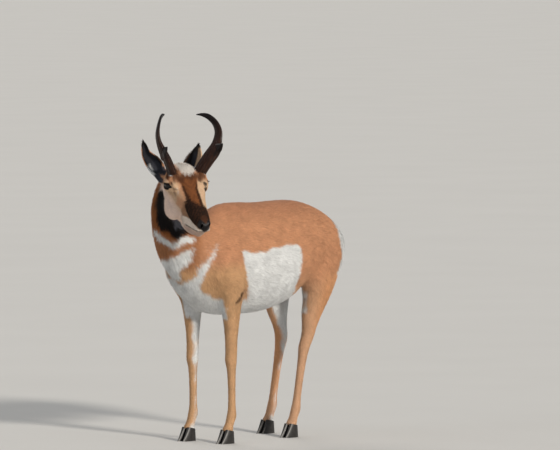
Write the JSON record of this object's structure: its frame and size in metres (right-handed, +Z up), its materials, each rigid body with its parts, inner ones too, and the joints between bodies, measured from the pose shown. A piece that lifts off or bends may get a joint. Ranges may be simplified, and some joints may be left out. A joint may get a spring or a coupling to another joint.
{
  "type": "pronghorn",
  "caption": "Standing pronghorn buck with forked black horns, head turned to its left, short coat and cloven hooves.",
  "frame": {"origin": "centre of the bounding box, on the floor plane that the hooves stand on", "axes": "+Z up. The buck faces -X, its left side is towards -Y, and its head turns to its left"},
  "size_m": [1.1218, 0.4544, 1.2014],
  "materials": {
    "hide": "short tan and white hair",
    "horn": "ridged dark horn, smoother at the tips",
    "hoof": "satin black horn",
    "eye": "wet dark brown"
  },
  "bodies": {
    "root": {"torso": "hide", "neck": "hide", "head": "hide", "tail": "hide", "ear_left": "hide", "ear_right": "hide", "foreleg_upper_left": "hide", "foreleg_upper_right": "hide", "foreleg_lower_left": "hide", "foreleg_lower_right": "hide", "hindleg_upper_left": "hide", "hindleg_upper_right": "hide", "hindleg_lower_left": "hide", "hindleg_lower_right": "hide", "eye_left": "eye", "eye_right": "eye", "horn_left": "horn", "horn_right": "horn", "foreleg_hoof_left": "hoof", "foreleg_hoof_right": "hoof", "hindleg_hoof_left": "hoof", "hindleg_hoof_right": "hoof"}
  },
  "joints": []
}
